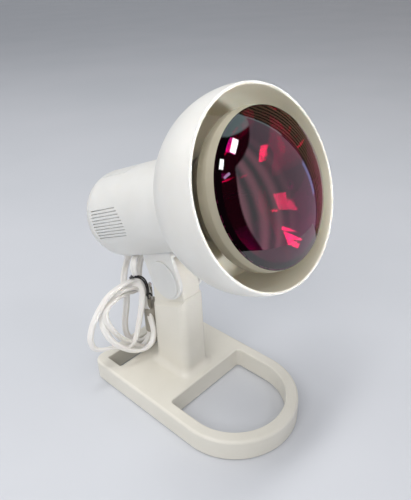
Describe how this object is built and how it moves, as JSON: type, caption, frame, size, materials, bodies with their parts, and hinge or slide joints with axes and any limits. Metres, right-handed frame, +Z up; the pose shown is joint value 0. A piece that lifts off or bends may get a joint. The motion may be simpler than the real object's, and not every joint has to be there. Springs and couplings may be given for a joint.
{
  "type": "infrared heat lamp",
  "caption": "Table-top infrared heat lamp: domed bulb in a flared shade on a round-ended barrel, tilting on a yoke over a post and ring-shaped base, its cord tied in a bundle.",
  "frame": {"origin": "on the table, under the middle of the lamp's outline without its cord", "axes": "+Z up, the lamp shines towards -Y, +X along the tilt axis, to the right of someone who stands in front of the lamp and looks along +Y"},
  "size_m": [0.156, 0.2326, 0.315],
  "materials": {
    "head_shell": "cool off-white moulded plastic, satin gloss",
    "stand_shell": "warm ivory moulded plastic, satin",
    "cover_plate": "matt ivory plastic",
    "lens_glass": "very dark ruby glass, mirror-smooth",
    "reflector_glass": "pressed glass silvered inside",
    "clear_glass": "clear glass stem",
    "ceramic": "white glazed ceramic",
    "screw_cap": "bright aluminium",
    "brass": "bare brass",
    "tungsten": "dark tungsten wire",
    "zinc_steel": "zinc-plated steel",
    "plug_pin": "nickel-plated brass",
    "plug_shell": "grey moulded plastic, satin",
    "cord_sheath": "off-white soft plastic sheath, satin",
    "foot_rubber": "matt dark rubber",
    "tie_wire": "black plastic-coated wire",
    "fibre": "pressed fibre",
    "live_sleeve": "brown wire insulation",
    "neutral_sleeve": "blue wire insulation"
  },
  "bodies": {
    "stand": {"base_housing": "stand_shell", "base_cover": "cover_plate", "base_screws": "zinc_steel", "rubber_feet": "foot_rubber", "friction_washers": "fibre", "supply_cord_lead": "cord_sheath", "supply_cord_coil": "cord_sheath", "cord_tie": "tie_wire", "plug_body": "plug_shell", "plug_boot": "plug_shell", "plug_pins": "plug_pin"},
    "head": {"pivot_bolt": "zinc_steel", "pivot_nut": "zinc_steel", "pivot_cap_left": "head_shell", "pivot_cap_right": "head_shell", "tilt_yoke": "head_shell", "yoke_screws": "zinc_steel", "shade": "head_shell", "barrel_housing": "head_shell", "bulb_lens": "lens_glass", "bulb_reflector": "reflector_glass", "bulb_screw_cap": "screw_cap", "bulb_contact": "brass", "bulb_stem": "clear_glass", "filament_supports": "zinc_steel", "bulb_filament": "tungsten", "lampholder_body": "ceramic", "lampholder_shell": "brass", "lampholder_contact": "brass", "holder_bracket": "zinc_steel", "holder_screws": "zinc_steel", "cord_gland": "cord_sheath", "cord_clamp": "ceramic", "clamp_screws": "zinc_steel", "inner_cord": "cord_sheath", "live_wire": "live_sleeve", "neutral_wire": "neutral_sleeve"}
  },
  "joints": [
    {"name": "head_tilt", "type": "hinge", "parent": "stand", "child": "head", "pos_m": [0, 0.0215, 0.1286], "axis": [1, 0, 0], "range_deg": [-15, 25], "deforming": ["supply_cord_lead"]}
  ]
}
